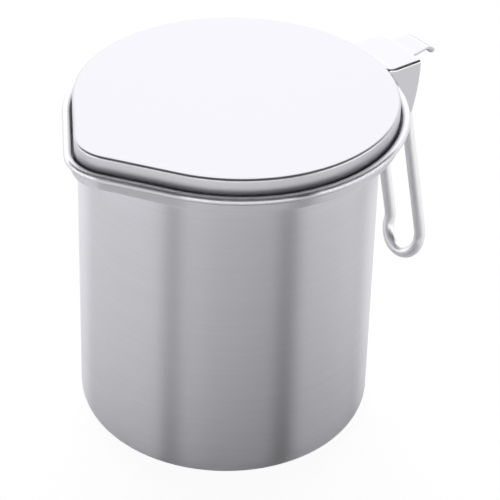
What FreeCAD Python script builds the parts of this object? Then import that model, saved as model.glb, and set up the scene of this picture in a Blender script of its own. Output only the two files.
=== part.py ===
import FreeCAD, Part
import math
import os

# Grease pot with a hinged lid, a thumb lever, a bent-rod handle and a strainer.
# Millimetres. +Z is up, the spout points to -X and the handle to +X, and the
# origin is the middle of the flat base. Everything is symmetric about Y = 0.

# ---- driving dimensions -------------------------------------------------
# Pot
BODY_R = 52.5          # outside radius of the round wall
RIM_Z = 121.0          # top of the rolled rim
POT_SHEET = 0.7        # sheet of the pot
BASE_FILLET = 8.5      # outside radius between base and wall
STEP_OUT = 4.55        # how far the mouth stands outside the wall, at its sides
STEP_DROP = 6.5        # from the top of the rim down to the face of the ledge
MOUTH_SHIFT = 3.0      # the mouth's centre lies this far from the pot's axis, to the rear
LEDGE_INNER_BEND = 1.0  # outside bend between wall and ledge
LEDGE_OUTER_BEND = 1.4  # outside bend between ledge and mouth wall
LEDGE_BEVEL = 0.6      # bevel in the corner inside the mouth
ROLL_R = 1.43          # outside radius of the rolled rim
ROLL_TURN = 290.0      # how far round the rim is rolled, degrees
SPOUT_PROUD = 7.8      # tip of the spout beyond the mouth's round part
SPOUT_CORNER_R = 15.75  # inside radius of the spout's corner

# Lid
LID_SHEET = 0.7
LID_GAP = 0.67         # gap between lid skirt and rim
LID_PROUD = 5.4        # top of the lid above the rim
LID_EDGE_R = 1.1       # outside radius along the lid's top edge
LID_SEAT_GAP = 0.3     # skirt above the strainer's flange

# Hinge
LEVER_SHEET = 0.8
HINGE_OUT = 6.6        # pin axis outboard of the rim
HINGE_DROP = 3.7       # pin axis below the top of the rim
EAR_RIM_GAP = 0.7      # strap and ears outboard of the rim
PIN_R = 1.5
PIN_CLEARANCE = 0.05   # running fit of the pin in its barrel
BARREL_R = 2.5
SIDE_CLEARANCE = 0.3   # lever ears to the barrel's ends and to the rods
OVER_RIM_GAP = 0.35    # lever arm above the rim
STRAP_GAP = 0.6        # strap above the barrel
EAR_OUT = 7.5          # outer edge of the ears outboard of the pin axis
EAR_EDGE_R = 65.0      # curve of the outer edge
EAR_HOLLOW_R = 60.0    # curve of the inner edge, which is hollow
EAR_DROP = 16.7        # lowest point of the ears below the pin axis
EAR_TIP_R = 1.0
EAR_BEND = 1.3         # outside bend between strap and ears
NECK_FLANGE_BELOW = 0.3  # the neck's flange ends below the lid's rounded edge
NECK_BEND = 1.0        # middle radius of the bend between flange and neck
NECK_DIP = 15.0        # slope of the neck over the rim, degrees
NECK_EASE = 4.0        # middle radius of the bend into the strap
NECK_NARROWER = 0.2    # neck inside the ears, at each side
TONGUE_ROOT_HALF = 6.6
TONGUE_TIP_HALF = 5.2
TONGUE_ROOT_FILLET = 2.0
TONGUE_CORNER_R = 3.2  # rounded corners of the lip
TONGUE_OVERLAP = 3.0   # level start of the tongue inside the strap
TONGUE_LEVEL = 2.4
HOLLOW_ENTRY_R = 8.0   # the tongue dips into a hollow for the thumb
HOLLOW_DIP = 9.0       # slope into the hollow, degrees
HOLLOW_ENTRY_RUN = 1.4
HOLLOW_R = 6.0
HOLLOW_RISE = 5.0      # slope out of the hollow, degrees
HOLLOW_EXIT_RUN = 4.0
LIP_R = 5.3            # the lip curls down from the crest
LIP_END = 80.0         # slope of the lip at its end, degrees

# Handle and bracket
ROD_R = 2.15
LEG_HALF = 8.6         # rod centres either side of Y = 0
ROD_BELOW_LEDGE = 5.5  # level run of the rod below the ledge
ROD_CORNER_OUT = 3.1   # corner of the rod outboard of the pin axis
ROD_TOP_BEND = 6.0
UPPER_LEAN = 11.6      # degrees outwards
LOWER_LEAN = 14.6      # degrees back towards the pot
UPPER_LENGTH = 68.75   # top corner to knee
KNEE_BEND = 9.4
KNEE_RUN = 0.3         # straight between the knee and the bottom bend
BRACKET_SHEET = 1.2
BRACKET_HEIGHT = 9.2   # contact of the bracket on the wall
BRACKET_BELOW_LEDGE = 1.2
SADDLE_WALL = 1.3      # bracket inboard of the barrel
SADDLE_LIP = 30.0      # the saddle ends this far below the pin's level, degrees
NOSE_OUT = 0.6         # nose of the bracket, from the saddle's end
NOSE_DROP = 2.4
UNDERSIDE_HOLLOW = 1.2  # hollow of the gusset's lower edge

# Strainer
STRAINER_SHEET = 0.6
FLANGE_GAP = 0.2       # flange to the bevel inside the mouth
BASKET_GAP = 0.9       # basket to the pot's wall
BASKET_DEPTH = 32.0    # below the ledge
BASKET_DRAFT = 5.0     # degrees
BASKET_TOP_BEVEL = 1.4
BASKET_FLOOR_BEVEL = 3.0
BASKET_FLOOR_LIP = 5.0
MESH_THICK = 0.5
CLAMP_HEIGHT = 0.8
CLAMP_SETBACK = 0.4    # ring wider than the opening, and the mesh narrower than the ring
LOOP_STRAP = 0.8       # thickness of the lifting strap
LOOP_WIDTH = 7.0
LOOP_RISE = 20.0       # foot of the strap to its top
LOOP_CORNER = 8.0
LOOP_BELOW_LEDGE = 1.5

# ---- sizes worked out from them -------------------------------------------
MOUTH_R = BODY_R + STEP_OUT
LEDGE_Z = RIM_Z - STEP_DROP
ROLL_Z = RIM_Z - ROLL_R
BORE_R = BODY_R - POT_SHEET
RIM_REAR_X = MOUTH_SHIFT + MOUTH_R + 2 * ROLL_R
SPOUT_REACH = MOUTH_R + SPOUT_PROUD - SPOUT_CORNER_R  # between the centres of mouth and spout
SPOUT_X = MOUTH_SHIFT - SPOUT_REACH
SPOUT_ANGLE = math.degrees(math.acos((MOUTH_R - SPOUT_CORNER_R) / SPOUT_REACH))
ROUND_HALF = 180 - SPOUT_ANGLE  # half of the mouth's round part, degrees
FLANGE_TOP = LEDGE_Z + STRAINER_SHEET
LID_TOP = RIM_Z + LID_PROUD
LID_BOTTOM = FLANGE_TOP + LID_SEAT_GAP
PIN_X = RIM_REAR_X + HINGE_OUT
PIN_Z = RIM_Z - HINGE_DROP
LEVER_TOP = PIN_Z + BARREL_R + STRAP_GAP + LEVER_SHEET
EAR_IN = HINGE_OUT - EAR_RIM_GAP  # inner end of the strap inboard of the pin axis
EAR_INNER = LEG_HALF + ROD_R + SIDE_CLEARANCE
EAR_OUTER = EAR_INNER + LEVER_SHEET
BARREL_HALF = EAR_INNER - SIDE_CLEARANCE
CHEEK_OUTER = LEG_HALF - ROD_R
ROD_Z = LEDGE_Z - ROD_BELOW_LEDGE

TINY = 1e-4


def vec(x, y, z):
    return FreeCAD.Vector(x, y, z)


# ---- helpers ---------------------------------------------------------------
class Route:
    """A tangent run of lines and arcs, drawn by lengths and bends."""

    def __init__(self, start, heading, side):
        self.at = start
        self.heading = heading.normalize()
        self.side = side.normalize()
        self.edges = []

    def line(self, length):
        end = self.at + self.heading * length
        self.edges.append(Part.LineSegment(self.at, end).toShape())
        self.at = end

    def bend(self, radius, degrees):
        """Turn towards the side vector, or away from it when degrees is negative."""
        turn = math.copysign(1.0, degrees)
        side = self.side * turn
        angle = math.radians(abs(degrees))
        centre = self.at + side * radius
        half = centre - side * (radius * math.cos(angle / 2)) + self.heading * (
            radius * math.sin(angle / 2))
        end = centre - side * (radius * math.cos(angle)) + self.heading * (
            radius * math.sin(angle))
        self.edges.append(Part.Arc(self.at, half, end).toShape())
        heading = self.heading * math.cos(angle) + side * math.sin(angle)
        self.side = (side * math.cos(angle) - self.heading * math.sin(angle)) * turn
        self.heading = heading
        self.at = end


def sheet_strip(x, z, heading, moves, thickness):
    """Face in the XZ plane: sheet whose middle line starts at x, z and is bent by moves.

    A move is (length,) for a straight run or (radius, degrees) for a bend, where
    positive degrees turn left. The heading is in degrees from +X towards +Z.
    """
    angle = math.radians(heading)
    ahead = vec(math.cos(angle), 0, math.sin(angle))
    left = vec(-math.sin(angle), 0, math.cos(angle))
    sides = []
    for sign in (1, -1):
        route = Route(vec(x, 0, z) + left * (sign * thickness / 2), vec(*ahead), vec(*left))
        for move in moves:
            if len(move) == 1:
                route.line(move[0])
            else:
                inward = sign * math.copysign(1.0, move[1])
                route.bend(move[0] - inward * thickness / 2, move[1])
        sides.append(route)
    start = [edges.edges[0].Vertexes[0].Point for edges in sides]
    caps = [Part.LineSegment(start[0], start[1]).toShape(),
            Part.LineSegment(sides[0].at, sides[1].at).toShape()]
    wire = Part.Wire(Part.__sortEdges__(sides[0].edges + sides[1].edges + caps))
    return Part.Face(wire)


def folded_strip(points, thickness):
    """Face in the XZ plane: sheet whose middle line runs straight from point to point."""
    middle = [vec(x, 0, z) for x, z in points]
    runs = [(b - a).normalize() for a, b in zip(middle, middle[1:])]
    lefts = [vec(-run.z, 0, run.x) for run in runs]
    offsets = [lefts[0]]
    for before, after in zip(lefts, lefts[1:]):
        mitre = (before + after).normalize()
        offsets.append(mitre * (1 / mitre.dot(after)))
    offsets.append(lefts[-1])
    half = thickness / 2
    upper = [at + out * half for at, out in zip(middle, offsets)]
    lower = [at - out * half for at, out in zip(middle, offsets)]
    ring = upper + lower[::-1]
    return Part.Face(Part.makePolygon(ring + ring[:1]))


def along_y(face, y_low, y_high):
    """Extrude a face of the XZ plane from y_low to y_high."""
    moved = face.copy()
    moved.translate(vec(0, y_low, 0))
    return moved.extrude(vec(0, y_high - y_low, 0))


def mouth_outline(outset, z):
    """The teardrop of the mouth's inner face, moved outwards by outset, at height z."""
    spread = math.radians(ROUND_HALF)
    big_r = MOUTH_R + outset
    small_r = SPOUT_CORNER_R + outset

    def at(centre_x, radius, angle):
        return vec(centre_x + radius * math.cos(angle), radius * math.sin(angle), z)

    left, right = at(MOUTH_SHIFT, big_r, spread), at(MOUTH_SHIFT, big_r, -spread)
    tip_left, tip_right = at(SPOUT_X, small_r, spread), at(SPOUT_X, small_r, -spread)
    edges = [Part.Arc(right, at(MOUTH_SHIFT, big_r, 0), left).toShape(),
             Part.LineSegment(left, tip_left).toShape(),
             Part.Arc(tip_left, at(SPOUT_X, small_r, math.pi), tip_right).toShape(),
             Part.LineSegment(tip_right, right).toShape()]
    return Part.Wire(edges)


def mouth_prism(outset, z_low, z_high):
    """Solid teardrop between two heights."""
    return Part.Face(mouth_outline(outset, z_low)).extrude(vec(0, 0, z_high - z_low))


def round_mouth(section):
    """Carry a section round the mouth: its x is the outset from the mouth's inner face."""
    up = vec(0, 0, 1)
    pieces = []
    for centre_x, radius, first, sweep in (
            (MOUTH_SHIFT, MOUTH_R, -ROUND_HALF, 2 * ROUND_HALF),
            (SPOUT_X, SPOUT_CORNER_R, ROUND_HALF, 2 * SPOUT_ANGLE)):
        face = section.copy()
        face.translate(vec(centre_x + radius, 0, 0))
        face.rotate(vec(centre_x, 0, 0), up, first)
        pieces.append(face.revolve(vec(centre_x, 0, 0), up, sweep))
    length = SPOUT_REACH * math.sin(math.radians(SPOUT_ANGLE))
    for sign in (1, -1):
        face = section.copy()
        face.translate(vec(MOUTH_SHIFT + MOUTH_R, 0, 0))
        face.rotate(vec(MOUTH_SHIFT, 0, 0), up, sign * ROUND_HALF)
        run = math.radians(sign * (ROUND_HALF + 90))
        pieces.append(face.extrude(vec(length * math.cos(run), length * math.sin(run), 0)))
    return pieces[0].multiFuse(pieces[1:]).removeSplitter()


def level_edges(shape, z):
    """Edges of a shape that lie at height z."""
    return [edge for edge in shape.Edges
            if abs(edge.BoundBox.ZMin - z) < TINY and abs(edge.BoundBox.ZMax - z) < TINY]


def circle_edges(shape, radius, z):
    """Circles of one radius that lie at height z."""
    return [edge for edge in level_edges(shape, z)
            if hasattr(edge.Curve, "Radius") and abs(edge.Curve.Radius - radius) < 0.01]


def one_solid(shape):
    """The single solid of a shape."""
    cleaned = shape.removeSplitter()
    solids = cleaned.Solids
    if len(solids) != 1:
        raise RuntimeError("expected one solid, found %d" % len(solids))
    return solids[0]


def turned(face):
    """Revolve a face of the XZ plane about the pot's axis."""
    return face.revolve(vec(0, 0, 0), vec(0, 0, 1), 360)


def across(radius, half, x, z):
    """Cylinder along Y through x, z that reaches to half on both sides."""
    return Part.makeCylinder(radius, 2 * half, vec(x, -half, z), vec(0, 1, 0))


def pot_space():
    """All that lies inside the pot's round wall."""
    return Part.makeCylinder(BODY_R, RIM_Z)


# ---- pot -------------------------------------------------------------------
def pot_outside():
    """Solid form of the pot's outside, up to the middle of the rolled rim."""
    under = LEDGE_Z - POT_SHEET
    wall = Part.makeCylinder(BODY_R, under)
    wall = wall.makeFillet(BASE_FILLET, circle_edges(wall, BODY_R, 0))
    mouth = mouth_prism(POT_SHEET, under, ROLL_Z)
    mouth = mouth.makeFillet(LEDGE_OUTER_BEND, level_edges(mouth, under))
    form = wall.fuse(mouth)
    return form.makeFillet(LEDGE_INNER_BEND, circle_edges(form, BODY_R, under))


def pot_inside():
    """Solid form of the space in the pot."""
    bore = Part.makeCylinder(BORE_R, LEDGE_Z - POT_SHEET, vec(0, 0, POT_SHEET))
    bore = bore.makeFillet(BASE_FILLET - POT_SHEET, circle_edges(bore, BORE_R, POT_SHEET))
    mouth = mouth_prism(0, LEDGE_Z, ROLL_Z)
    mouth = mouth.makeChamfer(LEDGE_BEVEL, level_edges(mouth, LEDGE_Z))
    form = bore.fuse(mouth)
    return form.makeChamfer(LEDGE_INNER_BEND, circle_edges(form, BORE_R, LEDGE_Z))


def make_pot_shell():
    """Deep-drawn pot with a stepped mouth, a pressed spout and a rolled rim."""
    shell = pot_outside().cut(pot_inside())
    middle_r = ROLL_R - POT_SHEET / 2
    roll = sheet_strip(POT_SHEET / 2, ROLL_Z, 90, [(middle_r, -ROLL_TURN)], POT_SHEET)
    return one_solid(shell.fuse(round_mouth(roll)))


# ---- lid -------------------------------------------------------------------
def make_lid_shell():
    """Flat teardrop lid with a straight skirt that drops inside the rim."""
    outer = mouth_prism(-LID_GAP, LID_BOTTOM, LID_TOP)
    outer = outer.makeFillet(LID_EDGE_R, level_edges(outer, LID_TOP))
    under = LID_TOP - LID_SHEET
    inner = mouth_prism(-LID_GAP - LID_SHEET, LID_BOTTOM, under)
    inner = inner.makeChamfer(LID_EDGE_R - LID_SHEET, level_edges(inner, under))
    return one_solid(outer.cut(inner))


# ---- hinge -----------------------------------------------------------------
def ear_outline():
    """Outline of an ear: a hollow inner edge and a bowed outer edge meet in a narrow tip."""
    outer_x = PIN_X + EAR_OUT
    bow_z = LEVER_TOP - EAR_BEND
    tip_z = PIN_Z - EAR_DROP + EAR_TIP_R
    bow_centre = vec(outer_x - EAR_EDGE_R, 0, bow_z)

    def on_circle(centre, radius, angle):
        return centre + vec(math.cos(angle), 0, math.sin(angle)) * radius

    # The tip's circle touches the long curve of the outer edge from inside.
    tip_out = math.sqrt((EAR_EDGE_R - EAR_TIP_R) ** 2 - (bow_z - tip_z) ** 2)
    tip = vec(bow_centre.x + tip_out, 0, tip_z)
    bow_end = math.atan2(tip_z - bow_z, tip_out)
    # The hollow curve starts at the strap's end and touches the tip's circle from outside.
    start = vec(PIN_X - EAR_IN, 0, LEVER_TOP)
    span = (tip - start).Length
    along = (tip - start).normalize()
    reach = (EAR_HOLLOW_R ** 2 - (EAR_HOLLOW_R + EAR_TIP_R) ** 2 + span ** 2) / (2 * span)
    aside = math.sqrt(EAR_HOLLOW_R ** 2 - reach ** 2)
    hollow = start + along * reach + vec(along.z, 0, -along.x) * aside
    hollow_start = math.atan2(start.z - hollow.z, start.x - hollow.x)
    hollow_end = math.atan2(tip_z - hollow.z, tip.x - hollow.x)
    # The tip runs from the outer curve round to the side that faces the hollow's centre.
    tip_middle = (bow_end + hollow_end - math.pi) / 2
    top_right = vec(outer_x, 0, LEVER_TOP)
    bow_top = vec(outer_x, 0, bow_z)
    bow_bottom = on_circle(bow_centre, EAR_EDGE_R, bow_end)
    tip_side = on_circle(hollow, EAR_HOLLOW_R, hollow_end)
    edges = [Part.LineSegment(start, top_right).toShape(),
             Part.LineSegment(top_right, bow_top).toShape(),
             Part.Arc(bow_top, on_circle(bow_centre, EAR_EDGE_R, bow_end / 2),
                      bow_bottom).toShape(),
             Part.Arc(bow_bottom, on_circle(tip, EAR_TIP_R, tip_middle), tip_side).toShape(),
             Part.Arc(tip_side, on_circle(hollow, EAR_HOLLOW_R, (hollow_start + hollow_end) / 2),
                      start).toShape()]
    return Part.Face(Part.Wire(edges))


def lever_channel():
    """The strap and its two ears, folded from one sheet."""
    length_low = PIN_X - EAR_IN
    depth = LEVER_TOP - PIN_Z + EAR_DROP
    outer = Part.makeBox(EAR_IN + EAR_OUT, 2 * EAR_OUTER, depth,
                         vec(length_low, -EAR_OUTER, LEVER_TOP - depth))
    inner = Part.makeBox(EAR_IN + EAR_OUT, 2 * EAR_INNER, depth - LEVER_SHEET,
                         vec(length_low, -EAR_INNER, LEVER_TOP - depth))
    folds = [edge for edge in level_edges(outer, LEVER_TOP)
             if abs(edge.BoundBox.YMax - edge.BoundBox.YMin) < TINY]
    outer = outer.makeFillet(EAR_BEND, folds)
    under = LEVER_TOP - LEVER_SHEET
    folds = [edge for edge in level_edges(inner, under)
             if abs(edge.BoundBox.YMax - edge.BoundBox.YMin) < TINY]
    inner = inner.makeFillet(EAR_BEND - LEVER_SHEET, folds)
    return outer.cut(inner).common(along_y(ear_outline(), -EAR_OUTER, EAR_OUTER))


def lever_arm():
    """The neck that rises over the rim and turns up against the lid's rear skirt."""
    skirt_x = MOUTH_SHIFT + MOUTH_R - LID_GAP
    half = LEVER_SHEET / 2
    slope = math.radians(NECK_DIP)
    # The sloping neck clears the rolled rim by the gap, measured square to the neck.
    rim_top_x = MOUTH_SHIFT + MOUTH_R + ROLL_R
    reach = (ROLL_R + OVER_RIM_GAP + half) / math.cos(slope)
    neck_x = skirt_x + half + NECK_BEND * (1 - math.sin(slope))
    neck_z = ROLL_Z + reach + (rim_top_x - neck_x) * math.tan(slope)
    bend_top = neck_z + NECK_BEND * math.cos(slope)
    flange_top = LID_TOP - LID_EDGE_R - NECK_FLANGE_BELOW
    fall = neck_z - (LEVER_TOP - half) - NECK_EASE * (1 - math.cos(slope))
    neck_length = fall / math.sin(slope)
    level_x = neck_x + neck_length * math.cos(slope) + NECK_EASE * math.sin(slope)
    face = sheet_strip(skirt_x + half, flange_top, -90,
                       [(flange_top - bend_top,), (NECK_BEND, 90 - NECK_DIP), (neck_length,),
                        (NECK_EASE, NECK_DIP)], LEVER_SHEET)
    # The flange is curved to the skirt, so the strip is turned about the mouth's centre.
    sweep = 2 * math.degrees(math.asin(EAR_OUTER / (MOUTH_R - LID_GAP)))
    up = vec(0, 0, 1)
    centre = vec(MOUTH_SHIFT, 0, 0)
    face.rotate(centre, up, -sweep / 2)
    ring = face.revolve(centre, up, sweep)
    neck_half = EAR_INNER - NECK_NARROWER
    keep = Part.makeBox(PIN_X - MOUTH_SHIFT, 2 * neck_half, LID_TOP, vec(MOUTH_SHIFT, -neck_half, 0))
    level = Part.makeBox(PIN_X - level_x, 2 * neck_half, LEVER_SHEET,
                         vec(level_x, -neck_half, LEVER_TOP - LEVER_SHEET))
    return ring.common(keep).fuse(level)


def tongue_plan(root_x, tip_x):
    """Plan of the tongue: flared at its root and tapered."""
    flare = TONGUE_ROOT_HALF + TONGUE_ROOT_FILLET
    start_x = root_x - TONGUE_OVERLAP
    bow = TONGUE_ROOT_FILLET * (1 - math.sqrt(0.5))
    edges = []
    for sign in (1, -1):
        def at(x, y):
            return vec(x, sign * y, 0)

        foot = at(root_x, flare)
        neck = at(root_x + TONGUE_ROOT_FILLET, TONGUE_ROOT_HALF)
        end = at(tip_x, TONGUE_TIP_HALF)
        edges += [Part.LineSegment(at(start_x, 0), at(start_x, flare)).toShape(),
                  Part.LineSegment(at(start_x, flare), foot).toShape(),
                  Part.Arc(foot, at(root_x + bow, TONGUE_ROOT_HALF + bow), neck).toShape(),
                  Part.LineSegment(neck, end).toShape(),
                  Part.LineSegment(end, at(tip_x, 0)).toShape()]
    return Part.Face(Part.Wire(Part.__sortEdges__(edges)))


def lever_tongue():
    """Thumb tongue: a shallow hollow, a crest and a rounded lip that curls down."""
    root_x = PIN_X + EAR_OUT
    face = sheet_strip(root_x - TONGUE_OVERLAP, LEVER_TOP - LEVER_SHEET / 2, 0,
                       [(TONGUE_LEVEL,), (HOLLOW_ENTRY_R, -HOLLOW_DIP), (HOLLOW_ENTRY_RUN,),
                        (HOLLOW_R, HOLLOW_DIP + HOLLOW_RISE), (HOLLOW_EXIT_RUN,),
                        (LIP_R, -HOLLOW_RISE - LIP_END)], LEVER_SHEET)
    flare = TONGUE_ROOT_HALF + TONGUE_ROOT_FILLET
    low_z = face.BoundBox.ZMin
    tip_x = face.BoundBox.XMax
    plan = tongue_plan(root_x, tip_x)
    tongue = along_y(face, -flare, flare).common(plan.extrude(vec(0, 0, LID_TOP)))
    # Seen from the handle, the lip's lower corners are quarter circles.
    for sign in (1, -1):
        centre_y = TONGUE_TIP_HALF - TONGUE_CORNER_R
        low_y = centre_y if sign > 0 else -TONGUE_TIP_HALF - LEVER_SHEET
        corner = Part.makeBox(LIP_R, TONGUE_CORNER_R + LEVER_SHEET, TONGUE_CORNER_R,
                              vec(tip_x - LIP_R, low_y, low_z))
        round_end = Part.makeCylinder(
            TONGUE_CORNER_R, LIP_R, vec(tip_x - LIP_R, sign * centre_y, low_z + TONGUE_CORNER_R),
            vec(1, 0, 0))
        tongue = tongue.cut(corner.cut(round_end))
    return tongue


def make_lid_lever():
    """Hinge strap of the lid, with its ears, neck and thumb tongue, from one sheet."""
    lever = lever_channel().multiFuse([lever_arm(), lever_tongue()])
    return one_solid(lever.cut(across(PIN_R, EAR_OUTER, PIN_X, PIN_Z)))


def make_hinge_pin():
    """Pin fixed in the ears, its ends flush with them."""
    return across(PIN_R, EAR_OUTER, PIN_X, PIN_Z)


def make_hinge_barrel():
    """Tube in which the pin turns."""
    tube = across(BARREL_R, BARREL_HALF, PIN_X, PIN_Z)
    return tube.cut(across(PIN_R + PIN_CLEARANCE, BARREL_HALF, PIN_X, PIN_Z))


# ---- handle and bracket ------------------------------------------------------
def make_handle_rod():
    """One rod: in from the wall on one side, down, round and up the other side."""
    corner_x = PIN_X + ROD_CORNER_OUT
    top_turn = 90 - UPPER_LEAN
    top_tangent = ROD_TOP_BEND * math.tan(math.radians(top_turn / 2))
    knee_turn = UPPER_LEAN + LOWER_LEAN
    knee_tangent = KNEE_BEND * math.tan(math.radians(knee_turn / 2))
    start = vec(BODY_R - 2 * ROD_R, -LEG_HALF, ROD_Z)
    outwards = vec(1, 0, 0)
    route = Route(start, outwards, vec(0, 0, -1))
    route.line(corner_x - top_tangent - start.x)
    route.bend(ROD_TOP_BEND, top_turn)
    route.line(UPPER_LENGTH - top_tangent - knee_tangent)
    route.bend(KNEE_BEND, knee_turn)
    route.line(KNEE_RUN)
    leg = list(route.edges)
    route.side = vec(0, 1, 0)
    route.bend(LEG_HALF, 180)
    mirrored = [edge.mirror(vec(0, 0, 0), vec(0, 1, 0)) for edge in leg]
    spine = Part.Wire(Part.__sortEdges__(route.edges + mirrored))
    profile = Part.Wire(Part.makeCircle(ROD_R, start, outwards))
    rod = spine.makePipeShell([profile], True, False)
    return one_solid(Part.Solid(rod).cut(pot_space()))


def cheek_outline():
    """Outline of a bracket cheek: a gusset from the wall to a saddle under the barrel."""
    top = LEDGE_Z - POT_SHEET - BRACKET_BELOW_LEDGE
    foot = top - BRACKET_HEIGHT
    inside = BODY_R - BARREL_R
    saddle_x = PIN_X - BARREL_R - SADDLE_WALL
    lip = math.radians(-SADDLE_LIP)
    lip_x = PIN_X + BARREL_R * math.cos(lip)
    lip_z = PIN_Z + BARREL_R * math.sin(lip)
    nose = vec(lip_x + NOSE_OUT, 0, lip_z - NOSE_DROP)
    heel = vec(inside, 0, foot)
    along = (nose - heel).normalize()
    hollow = (nose + heel) * 0.5 + vec(-along.z, 0, along.x) * UNDERSIDE_HOLLOW
    points = [(inside, foot), (inside, top), (RIM_REAR_X, top), (saddle_x, PIN_Z - SADDLE_WALL),
              (saddle_x, PIN_Z), (PIN_X, PIN_Z), (lip_x, lip_z), (nose.x, nose.z)]
    edges = [Part.LineSegment(vec(a[0], 0, a[1]), vec(b[0], 0, b[1])).toShape()
             for a, b in zip(points, points[1:])]
    return Part.Face(Part.Wire(edges + [Part.Arc(nose, hollow, heel).toShape()]))


def make_hinge_bracket():
    """Folded bracket on the pot's wall: a curved web and two cheeks with saddles."""
    outline = cheek_outline()
    inner = CHEEK_OUTER - BRACKET_SHEET
    cheeks = [along_y(outline, -CHEEK_OUTER, -inner), along_y(outline, inner, CHEEK_OUTER)]
    foot = LEDGE_Z - POT_SHEET - BRACKET_BELOW_LEDGE - BRACKET_HEIGHT
    ring = Part.makeCylinder(BODY_R + BRACKET_SHEET, BRACKET_HEIGHT, vec(0, 0, foot))
    web = ring.common(Part.makeBox(BODY_R, 2 * CHEEK_OUTER, BRACKET_HEIGHT,
                                   vec(BODY_R / 2, -CHEEK_OUTER, foot)))
    barrel = across(BARREL_R, BARREL_HALF, PIN_X, PIN_Z)
    return one_solid(web.multiFuse(cheeks).cut(pot_space()).cut(barrel))


# ---- strainer ----------------------------------------------------------------
def basket_line():
    """Middle line of the basket's sheet, from the flange to the floor's opening."""
    half = STRAINER_SHEET / 2
    level = LEDGE_Z + half
    floor = LEDGE_Z - BASKET_DEPTH + half
    top_r = BORE_R - BASKET_GAP - half
    wall_high = level - BASKET_TOP_BEVEL
    wall_low = floor + BASKET_FLOOR_BEVEL
    low_r = top_r - (wall_high - wall_low) * math.tan(math.radians(BASKET_DRAFT))
    floor_r = low_r - BASKET_FLOOR_BEVEL
    return [(top_r + BASKET_TOP_BEVEL + STRAINER_SHEET, level), (top_r + BASKET_TOP_BEVEL, level),
            (top_r, wall_high), (low_r, wall_low), (floor_r, floor),
            (floor_r - BASKET_FLOOR_LIP, floor)]


def make_strainer_basket():
    """Pressed basket: flange on the ledge, drafted wall and an inward lip at the floor.

    The flange fills the round part of the mouth, whose centre is shifted, and leaves
    the spout's ledge free.
    """
    basket = turned(folded_strip(basket_line(), STRAINER_SHEET))
    flange_r = MOUTH_R - LEDGE_BEVEL - FLANGE_GAP
    flange = Part.makeCylinder(flange_r, STRAINER_SHEET, vec(MOUTH_SHIFT, 0, LEDGE_Z))
    opening = Part.makeCylinder(basket_line()[1][0], STRAINER_SHEET, vec(0, 0, LEDGE_Z))
    return one_solid(basket.fuse(flange.cut(opening)))


def make_strainer_mesh():
    """Disc of fine mesh, clamped under the floor's lip."""
    floor_r = basket_line()[4][0]
    return Part.makeCylinder(floor_r - CLAMP_SETBACK, MESH_THICK,
                             vec(0, 0, LEDGE_Z - BASKET_DEPTH - MESH_THICK))


def make_strainer_clamp_ring():
    """Ring that holds the mesh against the basket's floor."""
    floor_r = basket_line()[4][0]
    opening_r = basket_line()[5][0] + CLAMP_SETBACK
    base = vec(0, 0, LEDGE_Z - BASKET_DEPTH - MESH_THICK - CLAMP_HEIGHT)
    ring = Part.makeCylinder(floor_r, CLAMP_HEIGHT, base)
    return ring.cut(Part.makeCylinder(opening_r, CLAMP_HEIGHT, base))


def make_strainer_loop():
    """Lifting strap: arched across the basket, its feet against the drafted wall."""
    low_r, low_z = basket_line()[3]
    top_z = LEDGE_Z - LOOP_BELOW_LEDGE - LOOP_STRAP / 2
    foot_z = top_z - LOOP_RISE
    draft = math.radians(BASKET_DRAFT)
    # The flat strap touches the round wall along its two long edges.
    wall_r = low_r + (foot_z - low_z) * math.tan(draft) - STRAINER_SHEET / 2 / math.cos(draft)
    touch_r = math.sqrt(wall_r ** 2 - (LOOP_WIDTH / 2) ** 2)
    foot_r = touch_r - LOOP_STRAP / 2 / math.cos(draft)
    turn = 90 + BASKET_DRAFT
    leg = (LOOP_RISE - LOOP_CORNER * (1 + math.sin(draft))) / math.cos(draft)
    level = 2 * (foot_r + leg * math.sin(draft) - LOOP_CORNER * math.cos(draft))
    face = sheet_strip(-foot_r, foot_z, turn,
                       [(leg,), (LOOP_CORNER, -turn), (level,), (LOOP_CORNER, -turn), (leg,)],
                       LOOP_STRAP)
    loop = along_y(face, -LOOP_WIDTH / 2, LOOP_WIDTH / 2)
    loop.rotate(vec(0, 0, 0), vec(0, 0, 1), 90)
    return one_solid(loop)


# ---- write ---------------------------------------------------------------------
def main():
    os.makedirs("parts", exist_ok=True)
    nodes = {
        "pot_shell": make_pot_shell(),
        "handle_rod": make_handle_rod(),
        "hinge_bracket": make_hinge_bracket(),
        "hinge_barrel": make_hinge_barrel(),
        "hinge_pin": make_hinge_pin(),
        "lid_shell": make_lid_shell(),
        "lid_lever": make_lid_lever(),
        "strainer_basket": make_strainer_basket(),
        "strainer_mesh": make_strainer_mesh(),
        "strainer_clamp_ring": make_strainer_clamp_ring(),
        "strainer_loop": make_strainer_loop(),
    }
    for name, shape in nodes.items():
        shape.exportStep("parts/%s.step" % name)
        box = shape.BoundBox
        print("%-20s valid %s volume %9.1f  x %6.1f %6.1f  y %6.1f %6.1f  z %6.1f %6.1f" % (
            name, shape.isValid(), shape.Volume, box.XMin, box.XMax, box.YMin, box.YMax,
            box.ZMin, box.ZMax))


main()
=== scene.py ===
"""Studio scene of a lidded steel grease pot: detailed pieces, finishes, light and camera.

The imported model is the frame: +Z up, the spout towards -X, the handle towards +X and the
origin in the middle of the base. All sizes are in metres.
"""
import logging
import math
from dataclasses import dataclass, field
from enum import Enum
from typing import Optional, Sequence, Union

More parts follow.
